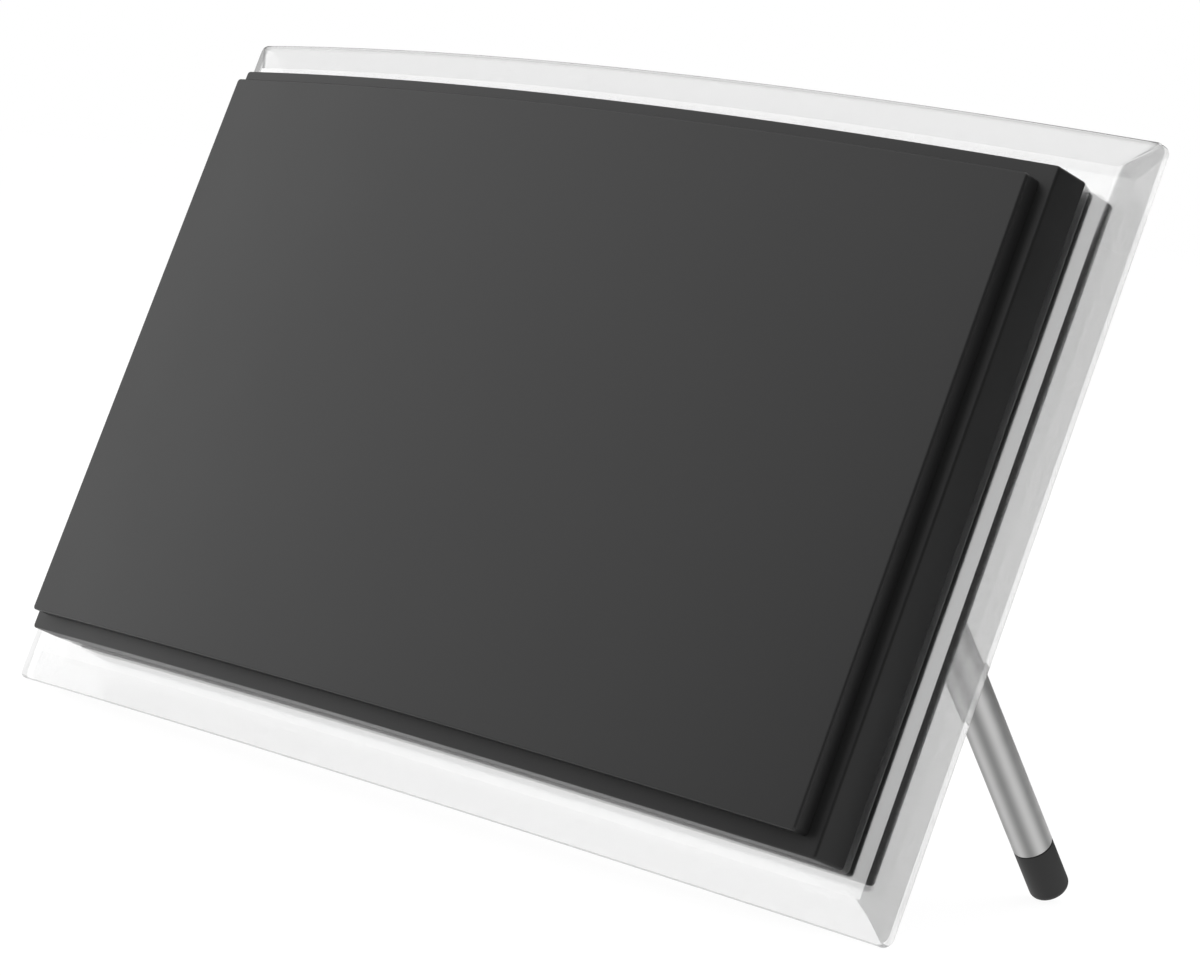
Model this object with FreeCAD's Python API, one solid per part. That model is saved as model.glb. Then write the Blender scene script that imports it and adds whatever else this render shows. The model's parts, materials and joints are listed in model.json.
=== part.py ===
import FreeCAD, Part
import math
import os

# Indoor tv antenna: a bent clear plate, clamped between a front housing and a rear cover, that leans back
# on two short legs. Every piece is drawn upright in the panel's own frame: x to the right, y to the back,
# z up, with y = 0 on the middle of the plate's front face. The finished pieces are then leaned back together
# and set down, so that z = 0 is the table and the origin is the middle of the footprint's box.
# All sizes are millimetres and degrees.

# Clear plate
plate_width = 265.0
plate_height = 157.0
plate_thickness = 4.0
plate_corner_radius = 2.2
bend_radius = 852.0
bevel_run = 6.65
bevel_drop = 2.15
feed_hole_radius = 12.0

# Front housing, set in from the plate's outline by the clear border
border_side = 12.9
border_end = 10.6
housing_depth = 7.3
housing_draft = 0.9
housing_wall = 2.0
housing_rim = 2.6
edge_round = 0.4
corner_round = 0.8

# Face panel on the housing's front
face_margin_side = 3.15
face_margin_end = 3.5
face_raise = 3.85
face_wall = 1.7
face_rim = 2.2
peg_radius = 1.6
peg_inset_side = 56.0
peg_inset_end = 9.5
peg_reach = 1.2

# Rear cover behind the plate, with straight sides and a back that rises a little towards its middle
rear_border_side = 13.7
rear_border_end = 10.6
rear_corner_radius = 1.0
rear_rim = 8.0
rear_depth = 10.0
rear_slope_run = 14.0
rear_wall = 2.0
rear_flange = 4.0

# Screws that clamp rear cover, plate and housing together
clamp_inset_side = 18.8
clamp_inset_end = 18.9
clamp_shank_radius = 1.45
clamp_head_radius = 2.7
clamp_head_height = 1.9
clamp_drive_radius = 1.3
clamp_drive_depth = 1.1
clamp_recess_radius = 3.2
clamp_recess_depth = 2.6
clamp_column_radius = 4.4
clamp_boss_radius = 3.4
clamp_bite = 4.2

# Sheet elements and their posts inside the housing
element_thickness = 0.5
element_post_height = 1.6
element_gap = 10.0
element_root_height = 18.0
element_end_height = 84.0
element_inset_side = 17.0
element_corner_radius = 5.0
element_hole_inset = 14.0
element_hole_spread = 26.0
element_root_hole = 26.0
element_post_radius = 2.4
small_shank_radius = 0.95
small_head_radius = 1.9
small_head_height = 1.2
small_bite = 2.6

# Balun board in the rear cover, with its transformer
board_width = 46.0
board_height = 32.0
board_thickness = 1.2
board_corner_radius = 1.5
board_screw_inset = 3.6
board_post_radius = 2.4
lead_radius = 0.6
lead_spacing = 16.0
core_width = 7.0
core_height = 6.2
core_depth = 3.5
core_hole_spacing = 3.5
core_hole_radius = 0.95
core_lift = 9.2
core_round = 0.8
wire_radius = 0.4
wire_pitch = 0.9

# Coax outlet through the back of the rear cover, at the panel's middle
socket_thread_radius = 4.76
socket_root_radius = 4.3
socket_thread_length = 14.0
socket_bore_radius = 3.6
socket_flange_flats = 12.0
socket_flange_thickness = 2.5
socket_chamfer = 0.5
spot_face_radius = 8.6
spot_face_depth = 0.4
washer_radius = 7.6
washer_thickness = 0.8
nut_flats = 12.7
nut_thickness = 2.6
contact_radius = 0.9
contact_bore_radius = 0.5
contact_bore_depth = 8.0
contact_tail = 1.0
insulator_setback = 1.0

# Legs
lean_angle = 19.43
leg_angle = 57.4
leg_inset = 6.8
leg_seat_drop = 9.75
leg_radius = 4.0
leg_bore_radius = 3.0
leg_boss_radius = 6.2
leg_socket_floor = 7.6
insert_radius = 3.5
insert_length = 4.0
insert_setback = 0.5
stud_radius = 2.5
stud_reach = 4.0
stud_plug_length = 12.0
cap_length = 12.0
cap_round = 1.5
cap_spigot_length = 8.0

# Clearances: fit_gap round a pressed piece, hole_gap round a screw, lead or peg
fit_gap = 0.04
hole_gap = 0.15

# Places worked out from the sizes above
BACK = FreeCAD.Vector(0, 1, 0)
UP = FreeCAD.Vector(0, 0, 1)
SIDES = {"left": -1, "right": 1}
trim_room = 30.0
housing_width = plate_width - 2 * border_side
housing_height = plate_height - 2 * border_end
face_width = housing_width - 2 * face_margin_side
face_height = housing_height - 2 * face_margin_end
rear_width = plate_width - 2 * rear_border_side
rear_height = plate_height - 2 * rear_border_end
face_front = -housing_depth - face_raise
housing_inner = -housing_depth + housing_wall
rear_back = plate_thickness + rear_depth
rear_inner = rear_back - rear_wall
rear_slope = (rear_depth - rear_rim) / rear_slope_run
element_front = housing_inner + element_post_height
element_back = element_front + element_thickness
board_back = rear_inner - socket_flange_thickness
board_front = board_back - board_thickness
spot_face = rear_back - spot_face_depth
nut_front = spot_face + washer_thickness
nut_back = nut_front + nut_thickness
socket_end = rear_inner + socket_thread_length
leg_x = rear_width / 2 - leg_inset
leg_way = FreeCAD.Vector(0, math.sin(math.radians(leg_angle)), -math.cos(math.radians(leg_angle)))


def bulge(x):
    """How far back the bent surface lies at a distance x from the panel's middle."""
    return bend_radius - math.sqrt(bend_radius ** 2 - x ** 2)


def arc_edge(half, y):
    """The bent line, in plan, across the panel at the middle depth y."""
    ends = [FreeCAD.Vector(x, y + bulge(x), 0) for x in (-half, half)]
    return Part.Arc(ends[0], FreeCAD.Vector(0, y, 0), ends[1]).toShape(), ends


def bent_block(width, height, front, back, back_width=None):
    """A bent slab between two depths, centred on the panel, its sides straight from front to back."""
    front_arc, (a, b) = arc_edge(width / 2, front)
    back_arc, (d, c) = arc_edge((back_width or width) / 2, back)
    sides = [Part.LineSegment(b, c).toShape(), Part.LineSegment(d, a).toShape()]
    outline = Part.Wire(Part.__sortEdges__([front_arc, sides[0], back_arc, sides[1]]))
    slab = Part.Face(outline).extrude(UP * height)
    slab.translate(UP * (-height / 2))
    return slab


def bent_layer(front, back):
    """A bent slab larger than the panel, used to trim pieces to its surfaces."""
    return bent_block(plate_width + trim_room, plate_height + trim_room, front, back)


def round_corners(block, radius):
    """Rounds the edges that run straight back from a block's corners."""
    return block.makeFillet(radius, [e for e in block.Edges if abs(e.tangentAt(e.FirstParameter).y) > 0.9])


def rounded_prism(width, height, radius, front, back):
    """A straight block along y with rounded corners, centred on the panel."""
    corner = FreeCAD.Vector(-width / 2, front, -height / 2)
    return round_corners(Part.makeBox(width, back - front, height, corner), radius)


def bevelled_block(width, height, bevelled, plain, run, drop):
    """A bent slab whose face at depth bevelled has a sloping border of the given run and drop, mitred."""
    way = 1 if plain > bevelled else -1
    block = bent_block(width, height, min(bevelled, plain), max(bevelled, plain))
    away = bevelled - way * trim_room
    outer = width / 2
    inner = outer - run
    slope = (bulge(outer) + way * drop - bulge(inner)) / run
    reach = outer + trim_room
    for side in SIDES.values():
        start = bevelled + bulge(inner)
        corners = [(inner, start), (reach, start + slope * (reach - inner)), (reach, away), (inner, away)]
        points = [FreeCAD.Vector(side * x, y, -height) for x, y in corners]
        cutter = Part.Face(Part.makePolygon(points + points[:1])).extrude(UP * 2 * height)
        block = block.cut(cutter)
    half = outer + 1.0
    for end in SIDES.values():
        arc, (a, b) = arc_edge(half, bevelled)
        far = [FreeCAD.Vector(half, away, 0), FreeCAD.Vector(-half, away, 0)]
        lines = [Part.LineSegment(p, q).toShape() for p, q in ((b, far[0]), (far[0], far[1]), (far[1], a))]
        section = Part.Face(Part.Wire([arc] + lines))
        section.translate(UP * end * (height / 2 - run))
        block = block.cut(section.extrude(FreeCAD.Vector(0, way * drop, end * run) * 2))
    return block


def pillar(x, z, radius, front, back):
    """A round post along y whose two ends follow the bent surfaces at the given depths."""
    low = front - trim_room
    post = Part.makeCylinder(radius, back - front + 3 * trim_room, FreeCAD.Vector(x, low, z), BACK)
    return post.common(bent_layer(front, back))


def rod(x, z, radius, front, back):
    """A plain round bar along y."""
    return Part.makeCylinder(radius, back - front, FreeCAD.Vector(x, front, z), BACK)


def hexagon(flats, front, back):
    """A hexagonal bar along y at the panel's middle, measured across its flats."""
    radius = flats / 2 / math.cos(math.pi / 6)
    angles = [math.radians(60 * i) for i in range(7)]
    points = [FreeCAD.Vector(radius * math.cos(a), front, radius * math.sin(a)) for a in angles]
    return Part.Face(Part.makePolygon(points)).extrude(BACK * (back - front))


def round_front(block):
    """Rounds the four edges that run back from a slab's front corners, then the loop round its front face."""
    lines = [e for e in block.Edges if e.Curve.TypeId == "Part::GeomLine"]
    block = block.makeFillet(corner_round, [e for e in lines if abs(e.tangentAt(e.FirstParameter).z) < 0.5])
    front = min(block.Faces, key=lambda f: f.CenterOfMass.y)
    return block.makeFillet(edge_round, front.Edges)


def screw(x, z, head_front, head_height, head_radius, shank_radius, tip):
    """A plain flat-headed screw along y, from its head's outer face to its tip."""
    way = 1 if tip > head_front else -1
    seat = head_front + way * head_height
    head = rod(x, z, head_radius, min(head_front, seat), max(head_front, seat))
    shank = rod(x, z, shank_radius, min(seat, tip), max(seat, tip))
    return head.fuse(shank).removeSplitter()


def clamp_points():
    """Places of the clamping screws: four corners and the middle of the long sides."""
    x = rear_width / 2 - clamp_inset_side
    z = rear_height / 2 - clamp_inset_end
    return [(i * x, k * z) for i in (-1, 0, 1) for k in (-1, 1)]


def peg_points():
    """Places of the pegs behind the face panel."""
    x = face_width / 2 - peg_inset_side
    z = face_height / 2 - peg_inset_end
    return [(i * x, k * z) for i in (-1, 1) for k in (-1, 1)]


def element_points(side):
    """Places of one element's screws: one at its root and two at its wide end."""
    end = housing_width / 2 - element_inset_side - element_hole_inset
    spread = element_hole_spread
    return [(side * element_root_hole, 0.0), (side * end, spread), (side * end, -spread)]


def board_points():
    """Places of the board's screws, in its corners."""
    x = board_width / 2 - board_screw_inset
    z = board_height / 2 - board_screw_inset
    return [(i * x, k * z) for i in (-1, 1) for k in (-1, 1)]


def leg_point(side, distance):
    """A point on a leg's axis, at a distance from the plate's back face."""
    start = FreeCAD.Vector(side * leg_x, plate_thickness + bulge(leg_x), -leg_seat_drop)
    return start + leg_way * distance


def leg_rod(side, radius, start, end):
    """A round bar along a leg's axis, between two distances from the plate's back face."""
    return Part.makeCylinder(radius, end - start, leg_point(side, start), leg_way)


def height_at(point):
    """Height of a panel point once the panel leans back, before it is set down."""
    lean = math.radians(lean_angle)
    return point.z * math.cos(lean) - point.y * math.sin(lean)


def leg_length():
    """Distance along a leg from the plate's back to its end, where its rounded foot meets the table."""
    corner_x = plate_width / 2 - plate_corner_radius
    table = height_at(FreeCAD.Vector(corner_x, plate_thickness + bulge(corner_x), -plate_height / 2))
    tilt = math.radians(leg_angle - lean_angle)
    drop = height_at(leg_point(1, 0)) - table
    reach = drop - cap_round - (leg_radius - cap_round) * math.sin(tilt)
    return reach / math.cos(tilt) + cap_round


def clear_plate():
    """The bent acrylic plate with its mitred bevel, screw holes and feed hole."""
    plate = bevelled_block(plate_width, plate_height, 0, plate_thickness, bevel_run, bevel_drop)
    front, back = -trim_room, plate_thickness + trim_room
    plate = plate.common(rounded_prism(plate_width, plate_height, plate_corner_radius, front, back))
    plate = plate.cut(rod(0, 0, feed_hole_radius, front, back))
    for x, z in clamp_points():
        plate = plate.cut(rod(x, z, clamp_shank_radius + hole_gap, front, back))
    return plate


def front_housing():
    """The hollow front housing with its clamping bosses, element posts and holes for the face's pegs."""
    foot_width = housing_width + 2 * housing_draft
    shell = round_front(bent_block(housing_width, housing_height, -housing_depth, 0, foot_width))
    inner_width, inner_height = housing_width - 2 * housing_rim, housing_height - 2 * housing_rim
    shell = shell.cut(bent_block(inner_width, inner_height, housing_inner, 0))
    mid_wall = housing_inner - housing_wall / 2
    bosses = [pillar(x, z, clamp_boss_radius, mid_wall, 0) for x, z in clamp_points()]
    for side in SIDES.values():
        for x, z in element_points(side):
            bosses.append(pillar(x, z, element_post_radius, mid_wall, element_front))
    shell = shell.fuse(bosses).removeSplitter()
    for x, z in clamp_points():
        tip = bulge(x) - clamp_bite - hole_gap
        shell = shell.cut(rod(x, z, clamp_shank_radius + fit_gap, tip, trim_room))
    for side in SIDES.values():
        for x, z in element_points(side):
            tip = element_back + bulge(x) - small_bite - hole_gap
            shell = shell.cut(rod(x, z, small_shank_radius + fit_gap, tip, trim_room))
    for x, z in peg_points():
        shell = shell.cut(rod(x, z, peg_radius + hole_gap, face_front - trim_room, trim_room))
    return shell


def face_panel():
    """The raised panel: a shallow bent tray that sits on the housing, with pegs through its wall."""
    tray = round_front(bent_block(face_width, face_height, face_front, -housing_depth))
    inner = face_front + face_wall
    tray = tray.cut(bent_block(face_width - 2 * face_rim, face_height - 2 * face_rim, inner, -housing_depth))
    root, tip = inner - face_wall / 2, housing_inner + peg_reach
    pegs = [pillar(x, z, peg_radius, root, tip) for x, z in peg_points()]
    return tray.fuse(pegs).removeSplitter()


def rear_cover():
    """The hollow rear cover with its clamping columns, leg sockets, board posts and outlet hole."""
    far = rear_back + trim_room
    rise = rear_depth - rear_rim
    block = bevelled_block(rear_width, rear_height, rear_back, plate_thickness, rear_slope_run, rise)
    block = round_corners(block, rear_corner_radius)
    inner_rim = rear_slope * rear_flange + rear_rim - rear_wall / math.cos(math.atan(rear_slope))
    inner_rise = rear_depth - rear_wall - inner_rim
    hollow = bevelled_block(rear_width - 2 * rear_flange, rear_height - 2 * rear_flange, rear_inner,
                            plate_thickness, inner_rise / rear_slope, inner_rise)
    mid_wall = rear_inner + rear_wall / 2
    posts = [pillar(x, z, clamp_column_radius, plate_thickness, mid_wall) for x, z in clamp_points()]
    posts += [rod(x, z, board_post_radius, board_back, mid_wall) for x, z in board_points()]
    for side in SIDES.values():
        posts.append(leg_rod(side, leg_boss_radius, -trim_room, trim_room).common(block))
    cover = block.cut(hollow).fuse(posts).removeSplitter()
    for x, z in clamp_points():
        cover = cover.cut(rod(x, z, clamp_shank_radius + hole_gap, 0, far))
        cover = cover.cut(rod(x, z, clamp_recess_radius, rear_back + bulge(x) - clamp_recess_depth, far))
    for x, z in board_points():
        cover = cover.cut(rod(x, z, small_shank_radius + fit_gap, 0, board_front + small_bite + hole_gap))
    for side in SIDES.values():
        hole_end = leg_socket_floor - insert_setback - insert_length - fit_gap
        cover = cover.cut(leg_rod(side, insert_radius + fit_gap, hole_end, leg_socket_floor))
        cover = cover.cut(leg_rod(side, leg_radius + fit_gap, leg_socket_floor, trim_room))
    cover = cover.cut(rod(0, 0, socket_thread_radius + hole_gap, 0, far))
    return cover.cut(rod(0, 0, spot_face_radius, spot_face, far))


def clamp_screws():
    """The screws that hold rear cover, plate and housing together, with a drive recess in each head."""
    screws = []
    for x, z in clamp_points():
        seat = rear_back + bulge(x) - clamp_recess_depth
        head = seat + clamp_head_height
        body = screw(x, z, head, clamp_head_height, clamp_head_radius, clamp_shank_radius,
                     bulge(x) - clamp_bite)
        screws.append(body.cut(rod(x, z, clamp_drive_radius, head - clamp_drive_depth, head)))
    return Part.makeCompound(screws)


def element(side):
    """One sheet element: a bow-tie half, narrow at the feed and wide at its end, bent like the panel."""
    root, tip = element_gap / 2, housing_width / 2 - element_inset_side
    low, high = element_root_height / 2, element_end_height / 2
    corners = [(root, -low), (tip, -high), (tip, high), (root, low)]
    points = [FreeCAD.Vector(side * x, -trim_room, z) for x, z in corners]
    sheet = Part.Face(Part.makePolygon(points + points[:1])).extrude(BACK * 2 * trim_room)
    outer = [e for e in sheet.Edges
             if abs(e.tangentAt(e.FirstParameter).y) > 0.9 and abs(e.CenterOfMass.x) > (root + tip) / 2]
    sheet = sheet.makeFillet(element_corner_radius, outer).common(bent_layer(element_front, element_back))
    for x, z in element_points(side):
        sheet = sheet.cut(rod(x, z, small_shank_radius + hole_gap, -trim_room, trim_room))
    return sheet


def element_screws():
    """The screws that hold the elements to the housing's posts."""
    places = [point for side in SIDES.values() for point in element_points(side)]
    screws = []
    for x, z in places:
        seat = element_back + bulge(abs(x) + small_head_radius)
        screws.append(screw(x, z, seat + small_head_height, small_head_height, small_head_radius,
                            small_shank_radius, element_back + bulge(x) - small_bite))
    return Part.makeCompound(screws)


def feed_lead(side):
    """A straight lead from an element's root through the plate's feed hole to the board."""
    x = side * lead_spacing / 2
    return rod(x, 0, lead_radius, element_back + bulge(abs(x) + lead_radius), board_front)


def balun_board():
    """The small circuit board behind the plate."""
    board = rounded_prism(board_width, board_height, board_corner_radius, board_front, board_back)
    for x, z in board_points():
        board = board.cut(rod(x, z, small_shank_radius + hole_gap, board_front, board_back))
    return board.cut(rod(0, 0, contact_radius + hole_gap, board_front, board_back))


def board_screws():
    """The screws that hold the board to the rear cover's posts."""
    head = board_front - small_head_height
    return Part.makeCompound([
        screw(x, z, head, small_head_height, small_head_radius, small_shank_radius, board_front + small_bite)
        for x, z in board_points()])


def balun_core():
    """The two-hole ferrite core of the matching transformer."""
    corner = FreeCAD.Vector(-core_width / 2, board_front - core_depth, core_lift - core_height / 2)
    core = Part.makeBox(core_width, core_depth, core_height, corner)
    core = core.makeFillet(core_round, [e for e in core.Edges if abs(e.tangentAt(e.FirstParameter).z) > 0.9])
    for side in SIDES.values():
        place = FreeCAD.Vector(side * core_hole_spacing / 2, board_front - core_depth / 2, corner.z)
        core = core.cut(Part.makeCylinder(core_hole_radius, core_height, place, UP))
    return core


def winding(offset):
    """A closed loop of wire through both of the core's holes, swept round a rectangle with mitred corners."""
    y = board_front - core_depth / 2 + offset
    half_width = core_hole_spacing / 2
    half_height = core_height / 2 + wire_radius
    corners = [(0, 1), (1, 1), (1, -1), (-1, -1), (-1, 1)]
    points = [FreeCAD.Vector(i * half_width, y, core_lift + k * half_height) for i, k in corners]
    path = Part.makePolygon(points + points[:1])
    section = Part.Wire(Part.makeCircle(wire_radius, points[0], FreeCAD.Vector(1, 0, 0)))
    make_solid, frenet, mitred = True, False, 1
    return path.makePipeShell([section], make_solid, frenet, mitred)


def coax_socket():
    """The outlet's metal body: a hexagonal flange inside the cover and a threaded barrel through it.

    The barrel has the thread's outside radius, and its root radius where the nut's thread bites.
    """
    thread = rod(0, 0, socket_thread_radius, nut_back, socket_end)
    rim = [e for e in thread.Edges if e.CenterOfMass.y > socket_end - socket_chamfer]
    thread = thread.makeChamfer(socket_chamfer, [e for e in rim if e.Length > socket_thread_radius * 3])
    root = rod(0, 0, socket_root_radius, nut_front, nut_back)
    barrel = rod(0, 0, socket_thread_radius, rear_inner, nut_front).fuse([root, thread])
    body = barrel.fuse(hexagon(socket_flange_flats, board_back, rear_inner)).removeSplitter()
    return body.cut(rod(0, 0, socket_bore_radius, board_back, socket_end))


def socket_insulator():
    """The plastic core of the outlet, round its contact."""
    radius = socket_bore_radius - fit_gap
    core = rod(0, 0, radius, board_back, socket_end - insulator_setback)
    return core.cut(rod(0, 0, contact_radius + fit_gap, board_back, socket_end))


def socket_contact():
    """The outlet's centre contact: a bored pin whose tail goes through the board."""
    end = socket_end - insulator_setback
    pin = rod(0, 0, contact_radius, board_front - contact_tail, end)
    return pin.cut(rod(0, 0, contact_bore_radius, end - contact_bore_depth, end))


def socket_washer():
    """The flat washer under the outlet's nut."""
    ring = rod(0, 0, washer_radius, spot_face, nut_front)
    return ring.cut(rod(0, 0, socket_thread_radius + hole_gap, spot_face, nut_front))


def socket_nut():
    """The hexagonal nut that holds the outlet in the cover, its corners turned down."""
    nut = hexagon(nut_flats, nut_front, nut_back)
    corner = nut_flats / 2 / math.cos(math.pi / 6)
    turned = rod(0, 0, corner, nut_front, nut_back)
    ends = [e for e in turned.Edges if e.Length > corner * 4]
    nut = nut.common(turned.makeChamfer(socket_chamfer, ends))
    return nut.cut(rod(0, 0, socket_root_radius + fit_gap, nut_front, nut_back))


def leg_insert(side):
    """The threaded insert below a leg socket's floor."""
    end = leg_socket_floor - insert_setback
    start = end - insert_length
    sleeve = leg_rod(side, insert_radius, start, end)
    return sleeve.cut(leg_rod(side, stud_radius + fit_gap, start, end))


def leg_stud(side):
    """The plug in a leg's top with the stud that screws into the insert."""
    end = leg_socket_floor + stud_plug_length
    plug = leg_rod(side, leg_bore_radius - fit_gap, leg_socket_floor, end)
    stud = leg_rod(side, stud_radius, leg_socket_floor - stud_reach, leg_socket_floor)
    return plug.fuse(stud).removeSplitter()


def leg_tube(side):
    """A leg's metal tube, from its socket's floor to its foot cap."""
    end = leg_length() - cap_length
    tube = leg_rod(side, leg_radius, leg_socket_floor, end)
    return tube.cut(leg_rod(side, leg_bore_radius, leg_socket_floor, end))


def foot_cap(side):
    """A rubber foot, flush with its tube, with a rounded end and a spigot in the tube's bore."""
    end = leg_length()
    start = end - cap_length
    cap = leg_rod(side, leg_radius, start, end)
    tip = leg_point(side, end)
    rim = [e for e in cap.Edges if e.CenterOfMass.distanceToPoint(tip) < cap_round and e.Length > leg_radius]
    cap = cap.makeFillet(cap_round, rim)
    spigot = leg_rod(side, leg_bore_radius - fit_gap, start - cap_spigot_length, start)
    return cap.fuse(spigot).removeSplitter()


def build():
    """Every piece by name, drawn upright in the panel's frame."""
    pieces = {
        "clear_plate": clear_plate(),
        "front_housing": front_housing(),
        "face_panel": face_panel(),
        "rear_cover": rear_cover(),
        "housing_screws": clamp_screws(),
        "element_screws": element_screws(),
        "balun_board": balun_board(),
        "board_screws": board_screws(),
        "balun_core": balun_core(),
        "primary_winding": winding(-wire_pitch / 2),
        "secondary_winding": winding(wire_pitch / 2),
        "coax_socket": coax_socket(),
        "socket_insulator": socket_insulator(),
        "socket_contact": socket_contact(),
        "socket_washer": socket_washer(),
        "socket_nut": socket_nut(),
    }
    for name, side in SIDES.items():
        pieces["element_" + name] = element(side)
        pieces["feed_lead_" + name] = feed_lead(side)
        pieces["leg_insert_" + name] = leg_insert(side)
        pieces["leg_stud_" + name] = leg_stud(side)
        pieces["leg_tube_" + name] = leg_tube(side)
        pieces["foot_cap_" + name] = foot_cap(side)
    return pieces


def set_down(pieces):
    """Leans the pieces back together and puts the middle of the footprint's box at the origin."""
    origin = FreeCAD.Vector(0, 0, 0)
    for shape in pieces.values():
        shape.rotate(origin, FreeCAD.Vector(1, 0, 0), -lean_angle)
    box = Part.makeCompound(list(pieces.values())).optimalBoundingBox(False, False)
    shift = FreeCAD.Vector(-box.Center.x, -box.Center.y, -box.ZMin)
    for shape in pieces.values():
        shape.translate(shift)
    return shift


def main():
    pieces = build()
    shift = set_down(pieces)
    os.makedirs("parts", exist_ok=True)
    for name, shape in pieces.items():
        shape.exportStep(os.path.join("parts", name + ".step"))
        print(name, "valid" if shape.isValid() else "INVALID", len(shape.Solids), round(shape.Volume, 2))
    turn = FreeCAD.Rotation(FreeCAD.Vector(1, 0, 0), -lean_angle)
    thread_start = turn.multVec(FreeCAD.Vector(0, nut_back, 0)) + shift
    thread_length = socket_end - socket_chamfer - nut_back
    print("thread starts at", thread_start, "and runs", thread_length, "along", turn.multVec(BACK))
    print("shift", shift, "leg length", leg_length())


main()
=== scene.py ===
import json
import math
from collections import namedtuple

import bmesh
import bpy
import numpy as np
from bpy.props import FloatProperty, FloatVectorProperty, PointerProperty
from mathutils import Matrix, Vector


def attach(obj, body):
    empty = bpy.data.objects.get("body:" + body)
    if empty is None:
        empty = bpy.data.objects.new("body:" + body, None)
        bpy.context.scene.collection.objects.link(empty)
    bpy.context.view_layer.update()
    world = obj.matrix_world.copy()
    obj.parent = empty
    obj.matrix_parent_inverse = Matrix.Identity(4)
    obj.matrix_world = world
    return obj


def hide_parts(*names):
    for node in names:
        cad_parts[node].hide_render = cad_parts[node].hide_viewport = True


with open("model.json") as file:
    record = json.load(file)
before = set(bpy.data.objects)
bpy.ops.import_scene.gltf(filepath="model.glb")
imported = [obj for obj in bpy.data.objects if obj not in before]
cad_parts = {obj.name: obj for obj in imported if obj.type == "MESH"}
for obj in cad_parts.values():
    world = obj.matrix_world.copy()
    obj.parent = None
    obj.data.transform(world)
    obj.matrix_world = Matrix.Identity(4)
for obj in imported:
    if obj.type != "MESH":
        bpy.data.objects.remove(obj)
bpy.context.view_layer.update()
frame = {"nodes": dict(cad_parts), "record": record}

bl_info = {
    "name": "Tabletop Antenna Dressing",
    "version": (1, 0, 0),
    "blender": (4, 5, 0),
    "location": "View3D > Sidebar > Antenna",
    "description": "Gives the packed tabletop antenna smooth surfaces, finishes and a plain studio",
    "category": "Object",
}

# The panel's own frame, read from the outlet's thread: across to the right, back out of the rear cover, up
# the panel, with its origin on the middle of the clear plate's front face. The thread's middle lies at a
# known depth behind that face. All lengths are metres.
OUTLET = frame["record"]["mounts"][0]
THREAD_MIDDLE = 0.02125
BACK = np.array(OUTLET["axis"])
ACROSS = np.array([1.0, 0.0, 0.0])
UP = np.cross(ACROSS, BACK)
PANEL = np.stack([ACROSS, BACK, UP])
PANEL_ORIGIN = np.array(OUTLET["pos_m"]) - THREAD_MIDDLE * BACK

# How finely the surfaces are divided
BEND_COLUMNS = 120
CORNER_STEPS = 8
EDGE_STEPS = 8
ROUND_STEPS = 96
THREAD_STEPS = 140
SHARP_ANGLE = math.radians(14.0)
MERGE_DISTANCE = 1e-7

# The plate's corners shrink this many times faster than its outline, so that the bevels meet in clean mitres
MITRE_SHRINK = 3.0

# Where the bevel's flat starts, in roundings of the plate's edge
BEVEL_START = 2.0

# Lean of a face away from the sheet, as a sine, from which it is a bevel, an edge or part of the plate's rim,
# each with its own painted shade
BEVEL_LEAN = 0.2
EDGE_LEAN = 0.36
RIM_LEAN = 0.96

# Painted reflections on the legs: lighter bands round a leg's tube, and the angle at which one of them lies
TUBE_REFLECTION_BANDS = 6
TUBE_REFLECTION_ANGLE = math.radians(25.0)

# Share of bare metal's shine that the satin tubes keep
SATIN_METAL = 0.7

# How far behind the plate the rear cover's rim is still coloured pale
PALE_STRIP_DEPTH = 0.0002

# Clear acrylic that barely bends the light, under a coat that mirrors strongly
ACRYLIC_IOR = 1.02
COAT_IOR = 4.0
COAT_ROUGHNESS = 0.1

# Noise: the range in which nearly all its values lie, and its octaves in a grain and in a change of tone
NOISE_RANGE = (0.3, 0.7)
GRAIN_DETAIL = 2.0
TONE_DETAIL = 3.0

# Clouds in moulded plastic, in features per metre, and how far they change its tone and its roughness
CLOUD_SCALE = 35.0
CLOUD_TONE = 0.06
CLOUD_GLOSS = 0.02

# How far the streaks on metal change its tone and its roughness, and the height of their relief
STREAK_TONE = 0.08
STREAK_GLOSS = 0.05
STREAK_HEIGHT = 0.000004

# Finishes: roughness, features of the grain per metre, the relief's height and strength, the gloss, and how
# the grain is stretched along the axes
Plastic = namedtuple("Plastic", "roughness grain height strength specular", defaults=(0.3, 0.5))
Metal = namedtuple("Metal", "roughness grain strength stretch", defaults=(1800.0, 0.15, (1.0, 1.0, 1.0)))
PLASTICS = {
    "housing_black": Plastic(0.38, 2600.0, 0.00001, specular=0.34),
    "face_black": Plastic(0.40, 2600.0, 0.00001, specular=0.35),
    "rear_black": Plastic(0.48, 1400.0, 0.00003, strength=0.45, specular=0.1),
    "foot_rubber": Plastic(0.55, 1500.0, 0.00002),
    "white_insulator": Plastic(0.45, 1200.0, 0.00001),
    "board_green": Plastic(0.3, 600.0, 0.00001),
    "ferrite": Plastic(0.6, 2500.0, 0.00003),
}
METALS = {
    "leg_metal": Metal(0.35, grain=300.0, strength=0.02),
    "nickel_plate": Metal(0.24),
    "screw_steel": Metal(0.32),
    "contact_brass": Metal(0.28),
    "element_sheet": Metal(0.35, stretch=(0.1, 1.0, 1.0)),
    "tinned_copper": Metal(0.3),
    "enamel_wire": Metal(0.22),
}

# Grey of the floor's paper, the part of the floor's white that takes the shadow
PAPER_GREY = 0.12

SIDES = {"left": -1.0, "right": 1.0}
IMAGE_WIDTH = 1200
SENSOR_WIDTH = 36.0


# Kinds of property

def length(name, default, description):
    """A length property in metres."""
    return FloatProperty(name=name, description=description, default=default, unit="LENGTH", precision=5)


def angle(name, degrees, description):
    """An angle property, its default given in degrees."""
    return FloatProperty(name=name, description=description, default=math.radians(degrees), unit="ROTATION")


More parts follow.
